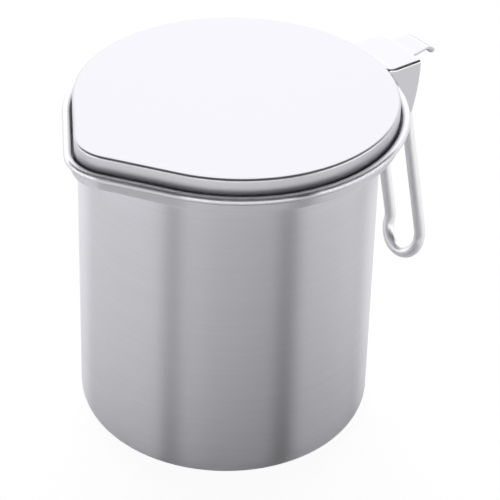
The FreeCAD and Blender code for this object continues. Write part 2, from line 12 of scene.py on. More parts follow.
import bpy
import numpy as np
from mathutils import Matrix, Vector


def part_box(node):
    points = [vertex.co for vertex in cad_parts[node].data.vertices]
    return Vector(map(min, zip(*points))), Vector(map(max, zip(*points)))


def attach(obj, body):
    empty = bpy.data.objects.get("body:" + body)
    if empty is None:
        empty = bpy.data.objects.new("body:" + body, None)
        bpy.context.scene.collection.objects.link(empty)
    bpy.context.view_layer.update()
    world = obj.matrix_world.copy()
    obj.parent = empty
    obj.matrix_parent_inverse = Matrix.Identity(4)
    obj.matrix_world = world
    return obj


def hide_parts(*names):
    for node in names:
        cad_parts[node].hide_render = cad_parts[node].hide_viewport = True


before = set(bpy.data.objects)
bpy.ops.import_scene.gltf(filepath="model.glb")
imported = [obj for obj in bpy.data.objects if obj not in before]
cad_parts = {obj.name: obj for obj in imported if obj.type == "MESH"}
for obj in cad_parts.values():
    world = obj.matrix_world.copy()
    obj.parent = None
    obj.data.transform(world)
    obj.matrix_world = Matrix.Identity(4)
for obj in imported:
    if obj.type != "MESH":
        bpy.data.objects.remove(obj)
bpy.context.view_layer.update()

LOG = logging.getLogger("grease_pot")
MM = 0.001
SMOOTH_BELOW = math.radians(32)

Number = Union[int, float]
Colour = tuple[float, float, float]


# ---- shader expressions -----------------------------------------------------
class Value:
    """A number in a node tree. Arithmetic on values adds the Math nodes that work it out."""

    def __init__(self, graph: "Graph", socket: bpy.types.NodeSocket) -> None:
        """Keep the graph and the socket that gives the number."""
        self.graph = graph
        self.socket = socket

    def math(self, operation: str, *others: Union["Value", Number]) -> "Value":
        """Combine this value with others in one Math node.

        Args:
            operation: The Math node's operation.
            others: The second and third inputs, as values or plain numbers.

        Returns:
            The node's result.
        """
        inputs = dict(enumerate((self, *others)))
        return self.graph.value("ShaderNodeMath", {"operation": operation}, inputs)

    def __add__(self, other: Union["Value", Number]) -> "Value":
        """self + other."""
        return self.math("ADD", other)

    def __radd__(self, other: Number) -> "Value":
        """other + self."""
        return self + other

    def __sub__(self, other: Union["Value", Number]) -> "Value":
        """self - other."""
        return self.math("SUBTRACT", other)

    def __rsub__(self, other: Number) -> "Value":
        """other - self."""
        return self * -1 + other

    def __mul__(self, other: Union["Value", Number]) -> "Value":
        """self * other."""
        return self.math("MULTIPLY", other)

    def __rmul__(self, other: Number) -> "Value":
        """other * self."""
        return self * other

    def __truediv__(self, other: Union["Value", Number]) -> "Value":
        """self / other."""
        return self.math("DIVIDE", other)

    def above(self, low: float, high: float) -> "Value":
        """Smooth step from 0 at low to 1 at high."""
        return self.graph.value("ShaderNodeMapRange", {"interpolation_type": "SMOOTHSTEP"},
                                {"Value": self, "From Min": low, "From Max": high})


class Graph:
    """Builds the node tree of a material or of the world."""

    def __init__(self, tree: bpy.types.NodeTree) -> None:
        """Start with an empty tree."""
        self.tree = tree
        tree.nodes.clear()

    def node(self, kind: str, settings: Optional[dict] = None,
             inputs: Optional[dict] = None) -> bpy.types.Node:
        """Add one node.

        Args:
            kind: The node's type.
            settings: Attributes set first. "stops" fills a colour ramp with (place, grey) pairs.
            inputs: Socket name or number to a plain value, a socket or a Value.

        Returns:
            The new node.
        """
        node = self.tree.nodes.new(kind)
        for name, setting in (settings or {}).items():
            if name == "stops":
                self._fill_ramp(node.color_ramp, setting)
            else:
                setattr(node, name, setting)
        for name, given in (inputs or {}).items():
            source = given.socket if isinstance(given, Value) else given
            if isinstance(source, bpy.types.NodeSocket):
                self.tree.links.new(source, node.inputs[name])
            else:
                node.inputs[name].default_value = source
        return node

    def value(self, kind: str, settings: Optional[dict] = None,
              inputs: Optional[dict] = None, output: Union[int, str] = 0) -> Value:
        """Add one node and wrap the output that is asked for."""
        return Value(self, self.node(kind, settings, inputs).outputs[output])

    @staticmethod
    def _fill_ramp(ramp: bpy.types.ColorRamp, stops: Sequence[tuple[float, float]]) -> None:
        """Give a colour ramp its grey stops."""
        ramp.interpolation = "EASE"
        while len(ramp.elements) < len(stops):
            ramp.elements.new(0.5)
        for element, (place, grey) in zip(ramp.elements, stops):
            element.position = place
            element.color = (grey, grey, grey, 1)

    def split(self, vector: bpy.types.NodeSocket) -> tuple[Value, Value, Value]:
        """The three components of a vector."""
        parts = self.node("ShaderNodeSeparateXYZ", {}, {"Vector": vector})
        return tuple(Value(self, output) for output in parts.outputs)

    def join(self, x: Union[Value, Number], y: Union[Value, Number],
             z: Union[Value, Number]) -> bpy.types.NodeSocket:
        """A vector from three components."""
        return self.node("ShaderNodeCombineXYZ", {}, {"X": x, "Y": y, "Z": z}).outputs[0]

    def place(self) -> tuple[Value, Value, Value]:
        """The shaded point in the frame of the model, as three values."""
        return self.split(self.node("ShaderNodeTexCoord").outputs["Object"])

    def noise(self, vector: bpy.types.NodeSocket, scale: float, detail: float = 2.0) -> Value:
        """Noise from 0 to 1 at a scale per unit of the vector."""
        return self.value("ShaderNodeTexNoise", {"noise_dimensions": "3D"},
                          {"Vector": vector, "Scale": scale, "Detail": detail}, "Fac")

    def shade(self, dark: Colour, light: Colour, amount: Value) -> bpy.types.NodeSocket:
        """A colour between two, by a value from 0 to 1."""
        mix = self.node("ShaderNodeMix", {"data_type": "RGBA"},
                        {"Factor": amount, "A": (*dark, 1), "B": (*light, 1)})
        return mix.outputs["Result"]


# ---- finishes -----------------------------------------------------------------
class Grain(Enum):
    """Direction in which a steel surface was brushed."""

    ROUND = "circles about the pot's axis"
    ALONG = "lines along X"
    SATIN = "no direction"


@dataclass(frozen=True)
class Steel:
    """Stainless steel with a ground grain, and a polished zone where one is asked for.

    The grain's noise and wider patches of it vary the colour and the roughness by their spreads.
    """

    name: str
    colour: Colour = (0.66, 0.65, 0.645)
    tint_spread: float = 0.04
    roughness: float = 0.30
    roughness_spread: float = 0.04
    stretch: float = 0.0
    grain: Grain = Grain.SATIN
    grain_pitch: float = 0.12 * MM
    grain_length: float = 18 * MM
    grain_depth: float = 0.0015 * MM
    patch_scale: float = 0.09
    patch_share: float = 0.4
    polish_above: Optional[float] = None
    polished_roughness: float = 0.10
    polish_fade: float = 0.3 * MM

    def _grain_vector(self, graph: Graph) -> bpy.types.NodeSocket:
        """Place of the shaded point, squeezed so that noise of one unit has the grain's form."""
        x, y, z = graph.place()
        across, along = 1 / self.grain_pitch, 1 / self.grain_length
        if self.grain is Grain.ROUND:
            # Distance round the axis comes from the angle times the distance from the axis.
            radial = (x * x + y * y).math("SQRT")
            turn = y.math("ARCTAN2", x)
            return graph.join(turn * radial * along, radial * across, z * across)
        if self.grain is Grain.ALONG:
            return graph.join(x * along, y * across, z * across)
        return graph.join(x * across, y * across, z * across)

    def material(self) -> bpy.types.Material:
        """Build the material.

        Returns:
            A new material with the steel's colour, roughness and grain.
        """
        material = bpy.data.materials.new(self.name)
        material.use_nodes = True
        graph = Graph(material.node_tree)
        vector = self._grain_vector(graph)
        grain = graph.noise(vector, 1.0)
        patches = graph.noise(vector, self.patch_scale)
        mottle = grain * (1 - self.patch_share) + patches * self.patch_share
        roughness = mottle * (2 * self.roughness_spread) + (self.roughness - self.roughness_spread)
        depth: Union[Value, float] = 1.0
        if self.polish_above is not None:
            height = graph.place()[2]
            polished = height.above(self.polish_above, self.polish_above + self.polish_fade)
            dull = 1 - polished
            roughness = roughness * dull + polished * self.polished_roughness
            depth = dull
        dark = tuple(channel * (1 - self.tint_spread) for channel in self.colour)
        light = tuple(min(channel * (1 + self.tint_spread), 1.0) for channel in self.colour)
        bump = graph.node("ShaderNodeBump", {}, {
            "Height": grain * depth, "Distance": self.grain_depth, "Strength": 1.0})
        shader = graph.node("ShaderNodeBsdfPrincipled", {}, {
            "Base Color": graph.shade(dark, light, mottle), "Metallic": 1.0,
            "Roughness": roughness, "Normal": bump.outputs["Normal"],
            "Anisotropic": self.stretch,
            # A quarter turn: the highlight spreads square to the grain's circles.
            "Anisotropic Rotation": 0.25 if self.stretch else 0.0})
        graph.node("ShaderNodeOutputMaterial", {}, {"Surface": shader.outputs["BSDF"]})
        return material


# ---- surfaces -------------------------------------------------------------------
def smooth(mesh: bpy.types.Mesh) -> None:
    """Shade a mesh smooth, with sharp edges kept where the surface is creased."""
    mesh.polygons.foreach_set("use_smooth", np.ones(len(mesh.polygons), dtype=bool))
    mesh.set_sharp_from_angle(angle=SMOOTH_BELOW)


def surface(name: str, points: np.ndarray, faces: list) -> bpy.types.Object:
    """Make an object at the origin from points and faces."""
    mesh = bpy.data.meshes.new(name)
    mesh.from_pydata(points.tolist(), [], faces)
    mesh.validate()
    smooth(mesh)
    piece = bpy.data.objects.new(name, mesh)
    bpy.context.scene.collection.objects.link(piece)
    return piece


def ring_stack(name: str, rings: np.ndarray) -> bpy.types.Object:
    """Close a stack of rings into one surface.

    Each ring is joined to the next by quads, index i + around * j being point i of ring j.
    The first and the last ring are closed by triangles to their own middles.

    Args:
        name: The object's name.
        rings: Points of shape (rings, around, 3), anticlockwise seen from the last ring.

    Returns:
        The new object, at the origin.
    """
    count, around, _ = rings.shape
    point = np.arange(around)
    following = np.roll(point, -1)
    lower = np.arange(count - 1)[:, None] * around
    upper = lower + around
    quads = np.stack([lower + point, lower + following, upper + following, upper + point], axis=-1)
    first, top = count * around, (count - 1) * around
    ends = [np.stack([following, point, np.full(around, first)], axis=-1),
            np.stack([top + point, top + following, np.full(around, first + 1)], axis=-1)]
    points = np.vstack([rings.reshape(-1, 3), rings[0].mean(axis=0), rings[-1].mean(axis=0)])
    return surface(name, points, quads.reshape(-1, 4).tolist() + np.vstack(ends).tolist())


def sheet_piece(name: str, grid: np.ndarray, cells: np.ndarray, thickness: float,
                edge: float) -> bpy.types.Object:
    """Sheet metal whose middle surface is the wanted cells of a grid, with eased edges.

    Args:
        name: The object's name.
        grid: Points of shape (rows, columns, 3).
        cells: Which cells between the points are sheet, of shape (rows - 1, columns - 1).
        thickness: The sheet's thickness, half of it on each side.
        edge: Width of the eased edges.

    Returns:
        The new object, at the origin.
    """
    columns = grid.shape[1]
    row, column = np.nonzero(cells)
    corner = row * columns + column
    quads = np.stack([corner, corner + columns, corner + columns + 1, corner + 1], axis=-1)
    used, order = np.unique(quads, return_inverse=True)
    piece = surface(name, grid.reshape(-1, 3)[used], order.reshape(-1, 4).tolist())
    solid = piece.modifiers.new("thickness", "SOLIDIFY")
    solid.thickness = thickness
    solid.offset = 0
    solid.use_even_offset = True
    ease_edges(piece, edge)
    return piece


def ease_edges(piece: bpy.types.Object, width: float) -> None:
    """Round off the sharp edges of a piece a little."""
    bevel = piece.modifiers.new("eased edges", "BEVEL")
    bevel.width = width
    bevel.segments = 2
    bevel.limit_method = "ANGLE"
    bevel.angle_limit = SMOOTH_BELOW


def arc(centre: tuple[float, float], radius: float, start: float, stop: float,
        steps: int = 10) -> np.ndarray:
    """Points on an arc: centre plus radius times the cosine and sine of evenly spaced angles.

    Args:
        centre: The arc's centre.
        radius: Its radius.
        start: First angle in degrees.
        stop: Last angle in degrees.
        steps: How many pieces the arc is cut into.

    Returns:
        Array of shape (steps + 1, 2).
    """
    angles = np.radians(np.linspace(start, stop, steps + 1))
    return np.column_stack([centre[0] + radius * np.cos(angles), centre[1] + radius * np.sin(angles)])


def run(start: tuple[float, float], stop: tuple[float, float], steps: int = 3,
        margin: float = 0.25 * MM) -> np.ndarray:
    """Points on a straight run, with one close to each end so that shading stays flat between."""
    share = min(margin / math.dist(start, stop), 0.3)
    places = np.concatenate([[share], np.linspace(share, 1 - share, steps + 1)[1:-1], [1 - share]])
    return np.array(start) + places[:, None] * (np.array(stop) - np.array(start))


def path(start: tuple[float, float], heading: float,
         moves: Sequence[tuple[float, float, int]]) -> tuple[np.ndarray, np.ndarray]:
    """Points along straight runs and the arcs that join them without a corner.

    A move is (length, 0, steps) for a run, or (radius, degrees, steps) for an arc that turns
    left where the degrees are positive. After a part a of its turn, an arc has gone radius
    times sin(a) ahead and radius times 1 - cos(a) to its side.

    Args:
        start: First point.
        heading: First direction, in degrees from the first axis towards the second.
        moves: The runs and arcs in order.

    Returns:
        The points, of shape (count, 2), and the heading at each, in radians.
    """
    place, angle = np.array(start, dtype=float), math.radians(heading)
    places, angles = [place[None, :]], [np.array([angle])]
    for size, turn, steps in moves:
        share = np.linspace(0, 1, steps + 1)[1:, None]
        ahead = np.array([math.cos(angle), math.sin(angle)])
        side = math.copysign(1.0, turn) * np.array([-ahead[1], ahead[0]])
        part = math.radians(abs(turn)) * share
        gone = np.sin(part) * ahead + (1 - np.cos(part)) * side if turn else share * ahead
        places.append(place + size * gone)
        angles.append(angle + math.radians(turn) * share[:, 0])
        place, angle = places[-1][-1], angles[-1][-1]
    return np.vstack(places), np.concatenate(angles)


@dataclass(frozen=True)
class Teardrop:
    """Plan of the mouth's inner face: a large circle, two tangent lines and the spout's corner."""

    centre_x: float = 3.0 * MM
    radius: float = 57.05 * MM
    proud: float = 7.8 * MM
    corner_radius: float = 15.75 * MM

    @property
    def corner_x(self) -> float:
        """X of the centre of the spout's corner."""
        return self.centre_x - self.radius - self.proud + self.corner_radius

    @property
    def tangent(self) -> float:
        """Direction, in radians, of the normal where the circle meets the tangent line."""
        between = self.centre_x - self.corner_x
        return math.pi - math.acos((self.radius - self.corner_radius) / between)

    def reach(self, turns: np.ndarray, outset: np.ndarray) -> np.ndarray:
        """Distance from the pot's axis to the outline, moved outwards by outset, at each turn.

        With centre c and radius r a circle's is c cos(turn) + sqrt(r^2 - c^2 sin^2(turn)), and
        a line's is its own distance over the cosine between ray and normal. Up to the tangent
        point the large circle's holds, then the line's, and at the spout the corner circle's.
        """
        def touch(centre_x: float, radius: np.ndarray) -> np.ndarray:
            return np.arctan2(radius * math.sin(self.tangent),
                              centre_x + radius * math.cos(self.tangent))

        big, small = self.radius + outset, self.corner_radius + outset
        along, side = np.cos(turns), np.abs(np.sin(turns))
        turned = np.abs(turns)
        circle = self.centre_x * along + np.sqrt(big ** 2 - (self.centre_x * side) ** 2)
        line = (big + self.centre_x * math.cos(self.tangent)) / np.maximum(
            along * math.cos(self.tangent) + side * math.sin(self.tangent), 1e-6)
        corner = self.corner_x * along + np.sqrt(
            np.maximum(small ** 2 - (self.corner_x * side) ** 2, 0.0))
        return np.where(turned <= touch(self.centre_x, big), circle,
                        np.where(turned <= touch(self.corner_x, small), line, corner))

    def turns(self, count: int) -> np.ndarray:
        """Directions from the axis that space points evenly along the outline."""
        fine = np.linspace(-math.pi, math.pi, 16 * count + 1)
        reach = self.reach(fine, np.zeros_like(fine))
        points = np.column_stack([reach * np.cos(fine), reach * np.sin(fine)])
        length = np.concatenate([[0], np.cumsum(np.hypot(*np.diff(points, axis=0).T))])
        return np.interp(np.linspace(0, length[-1], count + 1)[:-1], length, fine)


@dataclass
class Contour:
    """Section of the pot or the lid, round in places and a teardrop in others.

    A row holds a distance from the axis, a share of the plan, an outset from the plan and
    a height. The surface point is (1 - share) * distance + share * plan reach.
    """

    rows: list = field(default_factory=list)

    def round(self, points: np.ndarray) -> None:
        """Add points given as distance from the axis and height."""
        none = np.zeros(len(points))
        self.rows.append(np.column_stack([points[:, 0], none, none, points[:, 1]]))

    def mouth(self, points: np.ndarray) -> None:
        """Add points given as outset from the plan and height."""
        none = np.zeros(len(points))
        self.rows.append(np.column_stack([none, none + 1, points[:, 0], points[:, 1]]))

    def rings(self, plan: Teardrop, turns: np.ndarray) -> np.ndarray:
        """Turn the section into rings.

        Args:
            plan: The plan that the mouth's points follow.
            turns: Directions of the points of each ring.

        Returns:
            Array of shape (rows, turns, 3).
        """
        rows = np.vstack(self.rows)
        distance, share, outset, height = (rows[:, i:i + 1] for i in range(4))
        reach = (1 - share) * distance + share * plan.reach(turns[None, :], outset)
        return np.stack([reach * np.cos(turns), reach * np.sin(turns),
                         np.broadcast_to(height, reach.shape)], axis=-1)


def dress(piece: bpy.types.Object, material: bpy.types.Material, body: str, slot: str,
          *nodes: str) -> None:
    """Give a new piece its material and body, and let it stand for its nodes."""
    piece.data.materials.append(material)
    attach(piece, body)
    if nodes:
        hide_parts(*nodes)
    faces = len(piece.data.polygons)
    LOG.info("%s: %d faces, rides on %s, stands for %s", piece.name, faces, body, nodes or "nothing")


def redress(node: str, material: bpy.types.Material) -> None:
    """Give a node that stays a better material."""
    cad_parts[node].data.materials[0] = material
    LOG.info("%s: kept with finish %s", node, material.name)


MOUTH = Teardrop()
WALL_RADIUS = 52.5 * MM
ROLL_RADIUS = 1.43 * MM
LID_GAP = 0.67 * MM
# Radius of the rings next to the axis. Inside them a fan of triangles closes the surface.
POLE_RADIUS = 0.5 * MM
AROUND = 320
LID_FINISH = Steel("satin_lid_steel", colour=(0.62, 0.615, 0.65), tint_spread=0.01, roughness=0.36,
                   roughness_spread=0.02, grain_depth=0.0006 * MM)
LEVER_FINISH = Steel("satin_lever_steel", colour=(0.60, 0.595, 0.62), tint_spread=0.02,
                     roughness=0.26, grain=Grain.ALONG, grain_depth=0.002 * MM)


# ---- pot --------------------------------------------------------------------------
@dataclass
class Pot:
    """Deep-drawn pot: round wall, ledge, teardrop mouth and rolled rim."""

    sheet: float = 0.7 * MM
    base_bend: float = 8.5 * MM
    ledge_bend: float = 1.0 * MM
    mouth_bend: float = 1.4 * MM
    roll_turn: float = 290.0
    step_drop: float = 6.5 * MM
    top: float = field(default_factory=lambda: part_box("pot_shell")[1].z)

    @property
    def ledge(self) -> float:
        """Height of the ledge's upper face."""
        return self.top - self.step_drop

    def contour(self) -> Contour:
        """Section of the sheet, from the middle of the base outside to its middle inside."""
        under, bore = self.ledge - self.sheet, WALL_RADIUS - self.sheet
        flat = WALL_RADIUS - self.base_bend
        roll_z = self.top - ROLL_RADIUS
        inner_bend = self.base_bend - self.sheet
        edge_bend = self.ledge_bend + self.sheet
        corner_bend = self.mouth_bend - self.sheet
        roll_in = ROLL_RADIUS - self.sheet
        curl_end = 180 - self.roll_turn
        c = Contour()
        c.round(run((POLE_RADIUS, 0), (flat, 0), 8))
        c.round(arc((flat, self.base_bend), self.base_bend, -90, 0, 16))
        c.round(run((WALL_RADIUS, self.base_bend), (WALL_RADIUS, under - self.ledge_bend), 8))
        c.round(arc((WALL_RADIUS + self.ledge_bend, under - self.ledge_bend),
                    self.ledge_bend, 180, 90, 8))
        c.mouth(arc((self.sheet - self.mouth_bend, under + self.mouth_bend), self.mouth_bend, -90, 0, 8))
        c.mouth(run((self.sheet, under + self.mouth_bend), (self.sheet, roll_z), 2))
        c.mouth(arc((ROLL_RADIUS, roll_z), roll_in, 180, curl_end, 20))
        c.mouth(arc((ROLL_RADIUS, roll_z), ROLL_RADIUS, curl_end, 180, 36))
        c.mouth(run((0, roll_z), (0, self.ledge + corner_bend), 2))
        c.mouth(arc((-corner_bend, self.ledge + corner_bend), corner_bend, 0, -90, 6))
        c.round(arc((bore + edge_bend, self.ledge - edge_bend), edge_bend, 90, 180, 10))
        c.round(run((bore, self.ledge - edge_bend), (bore, self.base_bend), 8))
        c.round(arc((flat, self.base_bend), inner_bend, 0, -90, 16))
        c.round(run((flat, self.sheet), (POLE_RADIUS, self.sheet), 8))
        return c

    def build(self) -> None:
        """Make the shell and dress it."""
        rings = self.contour().rings(MOUTH, MOUTH.turns(AROUND))
        finish = Steel("brushed_pot_steel", colour=(0.72, 0.715, 0.755), roughness=0.45, stretch=1.0,
                       grain=Grain.ROUND, tint_spread=0.10, grain_depth=0.003 * MM,
                       polish_above=self.top - 2 * ROLL_RADIUS, polished_roughness=0.26)
        dress(ring_stack("pot_shell_drawn", rings), finish.material(), "pot", "pot_steel", "pot_shell")


# ---- lid --------------------------------------------------------------------------
@dataclass
class Lid:
    """Flat lid with a rounded top edge and a straight skirt."""

    sheet: float = 0.7 * MM
    edge_radius: float = 1.1 * MM
    flat_radius: float = 48 * MM
    bottom: float = field(default_factory=lambda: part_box("lid_shell")[0].z)
    top: float = field(default_factory=lambda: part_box("lid_shell")[1].z)

    def contour(self) -> Contour:
        """Section of the sheet, from the middle of the underside to the middle of the top."""
        outer, inner = -LID_GAP, -LID_GAP - self.sheet
        half = self.sheet / 2
        bend = self.edge_radius - self.sheet
        shoulder, under = self.top - self.edge_radius, self.top - self.sheet
        c = Contour()
        c.round(run((self.flat_radius, under), (POLE_RADIUS, under), 8)[::-1])
        c.mouth(arc((inner - bend, shoulder), bend, 90, 0, 5))
        c.mouth(run((inner, shoulder), (inner, self.bottom + half), 3))
        c.mouth(arc((inner + half, self.bottom + half), half, 180, 360, 8))
        c.mouth(run((outer, self.bottom + half), (outer, shoulder), 3))
        c.mouth(arc((outer - self.edge_radius, shoulder), self.edge_radius, 0, 90, 12))
        c.mouth(run((outer - self.edge_radius, self.top), (outer - 3 * self.edge_radius, self.top), 1))
        c.round(run((self.flat_radius, self.top), (POLE_RADIUS, self.top), 8))
        return c

    def build(self) -> None:
        """Make the shell and dress it."""
        rings = self.contour().rings(MOUTH, MOUTH.turns(AROUND))
        dress(ring_stack("lid_shell_pressed", rings), LID_FINISH.material(), "lid", "lid_steel",
              "lid_shell")


# ---- lever ------------------------------------------------------------------------
@dataclass
class Lever:
    """Hinge strap of the lid, folded from one sheet: flange, neck, strap, ears and tongue."""

    sheet: float = 0.8 * MM
    strap_rise: float = 3.9 * MM
    edge_ease: float = 0.14 * MM
    skirt_x: float = MOUTH.centre_x + MOUTH.radius - LID_GAP
    rim_top_x: float = MOUTH.centre_x + MOUTH.radius + ROLL_RADIUS
    rim_gap: float = 0.35 * MM
    flange_below: float = 1.4 * MM
    neck_bend: float = 1.0 * MM
    neck_dip: float = 15.0
    neck_ease: float = 4.0 * MM
    strap_in: float = 7.4 * MM
    strap_out: float = 7.5 * MM
    fold_radius: float = 0.9 * MM
    ear_edge_radius: float = 65.0 * MM
    ear_hollow_radius: float = 60.0 * MM
    ear_drop: float = 16.7 * MM
    ear_tip_radius: float = 1.0 * MM
    root_half: float = 6.6 * MM
    root_fillet: float = 2.0 * MM
    tip_half: float = 5.2 * MM
    corner_radius: float = 3.2 * MM
    tongue_level: float = 0.6 * MM
    neck_margin: float = 0.1 * MM
    tongue_margin: float = 0.05 * MM
    tongue_moves: tuple = ((8.0 * MM, -9, 6), (1.4 * MM, 0, 6), (6.0 * MM, 14, 8),
                           (4.0 * MM, 0, 10), (5.3 * MM, -85, 44))
    pin_x: float = field(default_factory=lambda: sum(c.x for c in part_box("hinge_pin")) / 2)
    pin_z: float = field(default_factory=lambda: sum(c.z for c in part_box("hinge_pin")) / 2)
    ear_outer: float = field(default_factory=lambda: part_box("lid_lever")[1].y)
    rim_top: float = field(default_factory=lambda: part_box("pot_shell")[1].z)
    lid_top: float = field(default_factory=lambda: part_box("lid_shell")[1].z)

    @property
    def strap_middle(self) -> float:
        """Height of the strap's middle surface."""
        return self.pin_z + self.strap_rise - self.sheet / 2

    @property
    def root_x(self) -> float:
        """Where the strap ends and the tongue starts."""
        return self.pin_x + self.strap_out

    def profile(self) -> np.ndarray:
        """Middle line from the flange's top to the lip's end, as X and Z.

        The neck's slope clears the rolled rim by the gap, measured square to the neck.
        """
        half, slope = self.sheet / 2, math.radians(self.neck_dip)
        reach = (ROLL_RADIUS + self.rim_gap + half) / math.cos(slope)
        neck_x = self.skirt_x + half + self.neck_bend * (1 - math.sin(slope))
        neck_z = self.rim_top - ROLL_RADIUS + reach + (self.rim_top_x - neck_x) * math.tan(slope)
        flange_top = self.lid_top - self.flange_below
        flange = flange_top - neck_z - self.neck_bend * math.cos(slope)
        fall = neck_z - self.strap_middle - self.neck_ease * (1 - math.cos(slope))
        neck = fall / math.sin(slope)
        level_x = neck_x + neck * math.cos(slope) + self.neck_ease * math.sin(slope)
        level = self.root_x - self.tongue_level - level_x
        moves = [(flange, 0, 4), (self.neck_bend, 90 - self.neck_dip, 10), (neck, 0, 10),
                 (self.neck_ease, self.neck_dip, 6), (level, 0, 12), *self.tongue_moves]
        return path((self.skirt_x + half, flange_top), -90, moves)[0]

    def ear_edge(self) -> tuple[np.ndarray, np.ndarray]:
        """Free edge of an ear, as X and Z from the strap's inner end round the tip and up.

        The hollow inner edge starts at the strap's end and touches the tip's circle, which
        touches the long bow of the outer edge from inside.
        """
        top = self.strap_middle + self.sheet / 2
        bow_z = top - self.fold_radius - self.sheet / 2
        bow_x = self.root_x - self.ear_edge_radius
        tip_z = self.pin_z - self.ear_drop + self.ear_tip_radius
        out = math.sqrt((self.ear_edge_radius - self.ear_tip_radius) ** 2 - (bow_z - tip_z) ** 2)
        tip = np.array([bow_x + out, tip_z])
        start = np.array([self.pin_x - self.strap_in, top])
        span = math.dist(start, tip)
        along = (tip - start) / span
        radius = self.ear_hollow_radius
        reach = (radius ** 2 - (radius + self.ear_tip_radius) ** 2 + span ** 2) / (2 * span)
        hollow = start + along * reach + np.array([along[1], -along[0]]) * math.sqrt(
            radius ** 2 - reach ** 2)
        from_hollow = [math.degrees(math.atan2(*(point - hollow)[::-1])) for point in (start, tip)]
        bow_end = math.degrees(math.atan2(tip_z - bow_z, out))
        edge = np.vstack([
            arc(tuple(hollow), radius, *from_hollow, 16),
            arc(tuple(tip), self.ear_tip_radius, from_hollow[1] - 180, bow_end, 8)[1:],
            arc((bow_x, bow_z), self.ear_edge_radius, bow_end, 0, 20)[1:]])
        return edge[:, 0], edge[:, 1]

    def side_section(self, middle: np.ndarray, low: np.ndarray) -> tuple[np.ndarray, np.ndarray]:
        """Fold and ear of each row, as Y and Z of shape (rows, columns), outwards and down.

        The fold is a quarter circle; the ear goes straight down from it to its edge.
        """
        turn = np.radians(np.linspace(0, 90, 9))[None, 1:]
        ear_top = middle[:, None] - self.fold_radius
        fold_y = self.flat_half + self.fold_radius * np.sin(turn)
        share = np.linspace(0, 1, 17)[None, 1:]
        height = ear_top - share * (ear_top - np.minimum(low[:, None], ear_top - self.sheet / 2))
        ear_y = np.full_like(height, self.ear_outer - self.sheet / 2)
        y = np.hstack([np.broadcast_to(fold_y, (len(middle), turn.size)), ear_y])
        return y, np.hstack([ear_top + self.fold_radius * np.cos(turn), height])

    @property
    def flat_half(self) -> float:
        """Half of the strap's flat width, between the folds."""
        return self.ear_outer - self.sheet / 2 - self.fold_radius

    def tongue_half(self, x: np.ndarray, left: np.ndarray) -> np.ndarray:
        """Half width of the tongue.

        It is a straight taper, with a quarter-circle fillet at the root and, over the last
        of its length, quarter-circle corners.

        Args:
            x: Places along the tongue.
            left: Length that is left to the lip's end.
        """
        fillet, corner = self.root_fillet, self.corner_radius
        start = self.root_x + fillet
        taper = self.root_half - (self.root_half - self.tip_half) * (x - start) / (x[-1] - start)
        into = np.clip(start - x, 0, fillet)
        flare = fillet - np.sqrt(fillet ** 2 - into ** 2)
        lost = corner - np.sqrt(corner ** 2 - np.clip(corner - left, 0, corner) ** 2)
        return np.minimum(taper, self.root_half) + flare - lost

    def build(self) -> None:
        """Work out the folded sheet row by row and dress it."""
        line = self.profile()
        edge_x, edge_z = self.ear_edge()
        neck = line[line[:, 0] < edge_x[0] - self.neck_margin]
        tongue = line[line[:, 0] > edge_x[-1] + self.tongue_margin]
        strap_z = np.interp(edge_x, line[:, 0], line[:, 1])
        x = np.concatenate([neck[:, 0], edge_x, tongue[:, 0]])
        middle = np.concatenate([neck[:, 1], strap_z, tongue[:, 1]])
        low = np.concatenate([neck[:, 1], edge_z, tongue[:, 1]])
        flare = self.root_half + self.root_fillet
        inner = np.linspace(-flare, flare, 25)
        outer = np.array([0.4, 1.0]) * (self.flat_half - flare) + flare
        flat = np.concatenate([-outer[::-1], inner, outer])
        step = np.hypot(*np.diff(tongue, axis=0).T)
        left = np.concatenate([np.cumsum(step[::-1])[::-1], [0]])
        scale = np.ones(len(x))
        scale[-len(tongue):] = self.tongue_half(tongue[:, 0], left) / flare
        side_y, side_z = self.side_section(middle, low)
        y = np.hstack([-side_y[:, ::-1], flat[None, :] * scale[:, None], side_y])
        z = np.hstack([side_z[:, ::-1], np.broadcast_to(middle[:, None], (len(x), len(flat))), side_z])
        # The flange and the neck follow the skirt's round, which fades out before the ears.
        fade = np.clip((edge_x[0] - x) / (edge_x[0] - self.rim_top_x), 0, 1)[:, None]
        out = x[:, None] - MOUTH.centre_x
        bow = out - np.sqrt(out ** 2 - np.minimum(np.abs(y), self.flat_half) ** 2)
        grid = np.stack([x[:, None] - bow * fade, y, z], axis=-1)
        sides, wide = side_y.shape[1], len(outer)
        cells = np.zeros((len(x) - 1, y.shape[1] - 1), dtype=bool)
        first, last = len(neck), len(neck) + len(edge_x) - 1
        cells[:first, sides:-sides] = True
        cells[first:last] = True
        cells[last:, sides + wide:-(sides + wide)] = True
        piece = sheet_piece("lid_lever_folded", grid, cells, self.sheet, self.edge_ease)
        dress(piece, LEVER_FINISH.material(), "lid", "lid_steel", "lid_lever")


